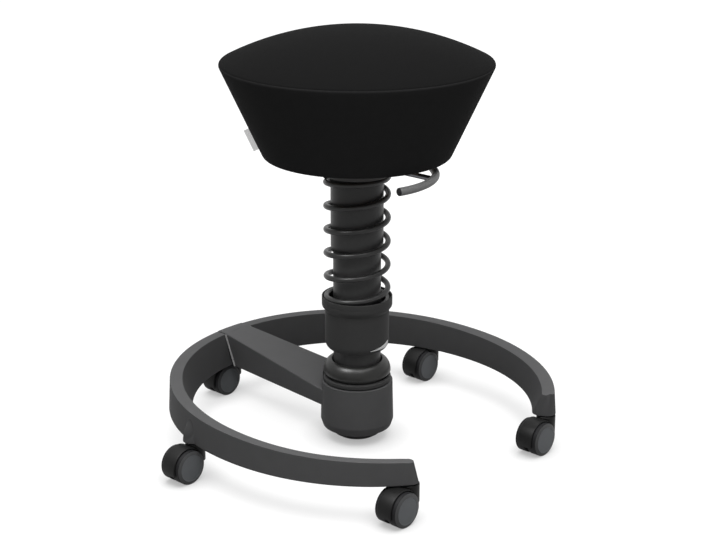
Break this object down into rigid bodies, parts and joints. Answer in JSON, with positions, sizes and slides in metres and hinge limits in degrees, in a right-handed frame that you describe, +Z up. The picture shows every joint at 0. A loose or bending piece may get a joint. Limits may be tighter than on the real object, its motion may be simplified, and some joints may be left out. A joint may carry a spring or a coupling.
{
  "type": "spring balance stool",
  "caption": "Round stool with a crowned fabric seat on a tilting column with a coil spring, on an open ring base with twin-wheel casters; the seat turns, bounces and lifts.",
  "frame": {"origin": "on the column's axis at the floor; the hub's foot cap lies a few millimetres above it", "axes": "+Z up along the column, +Y along the base's single arm to the rear of the ring, so the ring's opening faces -Y"},
  "size_m": [0.6071, 0.5633, 0.6351],
  "materials": {
    "ring_coat": "satin",
    "hub_coat": "satin",
    "column_black": "satin",
    "sleeve_black": "satin",
    "rubber_black": "matte",
    "spring_black": "satin",
    "steel": "satin",
    "dark_steel": "satin",
    "hood_black": "gloss",
    "wheel_grey": "satin",
    "grip_grey": "satin",
    "nylon": "matte",
    "plywood": "matte",
    "foam": "matte",
    "seat_fabric": "matte",
    "tag_cloth": "matte"
  },
  "bodies": {
    "base": {"base_ring": "ring_coat", "hub_arm": "hub_coat", "hub_foot_cap": "column_black", "boot": "rubber_black", "clamp_ring": "column_black", "tilt_socket": "dark_steel", "tilt_stop_ring": "rubber_black", "ring_screw_left": "dark_steel", "ring_screw_right": "dark_steel", "caster_stem_rear": "steel", "caster_stem_left": "steel", "caster_stem_right": "steel", "caster_stem_front_left": "steel", "caster_stem_front_right": "steel"},
    "tilt_link": {"elastomer_bush": "rubber_black"},
    "column_lower": {"pivot_ball": "steel", "lower_sleeve": "sleeve_black", "spring_seat_ring": "dark_steel", "sleeve_bush": "nylon", "coil_spring": "spring_black"},
    "collar": {"adjusting_collar": "column_black"},
    "column_upper": {"upper_sleeve": "column_black", "upper_spring_plate": "column_black", "gas_outer_tube": "dark_steel", "tube_bush": "nylon"},
    "lift_rod": {"piston_rod": "steel", "thrust_bearing": "steel", "rod_clip": "dark_steel"},
    "seat": {"pressure_tube": "steel", "seat_bracket": "dark_steel", "seat_base_plate": "plywood", "seat_foam": "foam", "seat_cover": "seat_fabric", "seat_tag": "tag_cloth", "lever_pin": "steel", "bracket_screw_left": "steel", "bracket_screw_right": "steel"},
    "release_lever": {"lever_rod": "dark_steel", "lever_grip": "grip_grey"},
    "valve": {"valve_pin": "steel"},
    "caster_rear": {"caster_hood_rear": "hood_black", "caster_axle_rear": "steel"},
    "wheel_rear_a": {"caster_wheel_rear_a": "wheel_grey"},
    "wheel_rear_b": {"caster_wheel_rear_b": "wheel_grey"},
    "caster_left": {"caster_hood_left": "hood_black", "caster_axle_left": "steel"},
    "wheel_left_a": {"caster_wheel_left_a": "wheel_grey"},
    "wheel_left_b": {"caster_wheel_left_b": "wheel_grey"},
    "caster_right": {"caster_hood_right": "hood_black", "caster_axle_right": "steel"},
    "wheel_right_a": {"caster_wheel_right_a": "wheel_grey"},
    "wheel_right_b": {"caster_wheel_right_b": "wheel_grey"},
    "caster_front_left": {"caster_hood_front_left": "hood_black", "caster_axle_front_left": "steel"},
    "wheel_front_left_a": {"caster_wheel_front_left_a": "wheel_grey"},
    "wheel_front_left_b": {"caster_wheel_front_left_b": "wheel_grey"},
    "caster_front_right": {"caster_hood_front_right": "hood_black", "caster_axle_front_right": "steel"},
    "wheel_front_right_a": {"caster_wheel_front_right_a": "wheel_grey"},
    "wheel_front_right_b": {"caster_wheel_front_right_b": "wheel_grey"}
  },
  "joints": [
    {"name": "tilt_side", "type": "hinge", "parent": "base", "child": "tilt_link", "pos_m": [0, 0, 0.116], "axis": [0, 1, 0], "range_deg": [-5, 5], "stiffness_Nm_per_rad": 350},
    {"name": "tilt_front", "type": "hinge", "parent": "tilt_link", "child": "column_lower", "pos_m": [0, 0, 0.116], "axis": [1, 0, 0], "range_deg": [-5, 5], "stiffness_Nm_per_rad": 350},
    {"name": "collar_turn", "type": "hinge", "parent": "column_lower", "child": "collar", "pos_m": [0, 0, 0.19], "axis": [0, 0, 1], "range_deg": [-180, 180]},
    {"name": "bounce", "type": "slide", "parent": "column_lower", "child": "column_upper", "axis": [0, 0, 1], "range_m": [-0.05, 0], "stiffness_N_per_m": 9000, "springref_m": 0.03, "deforming": ["coil_spring"]},
    {"name": "seat_turn", "type": "hinge", "parent": "column_upper", "child": "lift_rod", "pos_m": [0, 0, 0.3], "axis": [0, 0, 1], "continuous": true},
    {"name": "seat_lift", "type": "slide", "parent": "lift_rod", "child": "seat", "axis": [0, 0, 1], "range_m": [0, 0.1]},
    {"name": "lever_tip", "type": "hinge", "parent": "seat", "child": "release_lever", "pos_m": [0, -0.03, 0.44], "axis": [-1, 0, 0], "range_deg": [0, 3], "stiffness_Nm_per_rad": 1.5, "springref_deg": -2.86},
    {"name": "valve_press", "type": "slide", "parent": "seat", "child": "valve", "axis": [0, 0, 1], "range_m": [-0.002, 0]},
    {"name": "swivel_rear", "type": "hinge", "parent": "base", "child": "caster_rear", "pos_m": [0, 0.28, 0.05], "axis": [0, 0, 1], "continuous": true},
    {"name": "roll_rear_a", "type": "hinge", "parent": "caster_rear", "child": "wheel_rear_a", "pos_m": [-0.0255, 0.28, 0.0255], "axis": [0, 1, 0], "continuous": true},
    {"name": "roll_rear_b", "type": "hinge", "parent": "caster_rear", "child": "wheel_rear_b", "pos_m": [-0.0255, 0.28, 0.0255], "axis": [0, 1, 0], "continuous": true},
    {"name": "swivel_left", "type": "hinge", "parent": "base", "child": "caster_left", "pos_m": [-0.2668, 0.07679, 0.05], "axis": [0, 0, 1], "continuous": true},
    {"name": "roll_left_a", "type": "hinge", "parent": "caster_left", "child": "wheel_left_a", "pos_m": [-0.2923, 0.07679, 0.0255], "axis": [0, 1, 0], "continuous": true},
    {"name": "roll_left_b", "type": "hinge", "parent": "caster_left", "child": "wheel_left_b", "pos_m": [-0.2923, 0.07679, 0.0255], "axis": [0, 1, 0], "continuous": true},
    {"name": "swivel_right", "type": "hinge", "parent": "base", "child": "caster_right", "pos_m": [0.2668, 0.07679, 0.05], "axis": [0, 0, 1], "continuous": true},
    {"name": "roll_right_a", "type": "hinge", "parent": "caster_right", "child": "wheel_right_a", "pos_m": [0.2413, 0.07679, 0.0255], "axis": [0, 1, 0], "continuous": true},
    {"name": "roll_right_b", "type": "hinge", "parent": "caster_right", "child": "wheel_right_b", "pos_m": [0.2413, 0.07679, 0.0255], "axis": [0, 1, 0], "continuous": true},
    {"name": "swivel_front_left", "type": "hinge", "parent": "base", "child": "caster_front_left", "pos_m": [-0.15897, -0.2433, 0.05], "axis": [0, 0, 1], "continuous": true},
    {"name": "roll_front_left_a", "type": "hinge", "parent": "caster_front_left", "child": "wheel_front_left_a", "pos_m": [-0.18447, -0.2433, 0.0255], "axis": [0, 1, 0], "continuous": true},
    {"name": "roll_front_left_b", "type": "hinge", "parent": "caster_front_left", "child": "wheel_front_left_b", "pos_m": [-0.18447, -0.2433, 0.0255], "axis": [0, 1, 0], "continuous": true},
    {"name": "swivel_front_right", "type": "hinge", "parent": "base", "child": "caster_front_right", "pos_m": [0.15897, -0.2433, 0.05], "axis": [0, 0, 1], "continuous": true},
    {"name": "roll_front_right_a", "type": "hinge", "parent": "caster_front_right", "child": "wheel_front_right_a", "pos_m": [0.13347, -0.2433, 0.0255], "axis": [0, 1, 0], "continuous": true},
    {"name": "roll_front_right_b", "type": "hinge", "parent": "caster_front_right", "child": "wheel_front_right_b", "pos_m": [0.13347, -0.2433, 0.0255], "axis": [0, 1, 0], "continuous": true}
  ],
  "couplings": [
    {"joint": "valve_press", "follows": "lever_tip", "m_per_rad": -0.03}
  ]
}
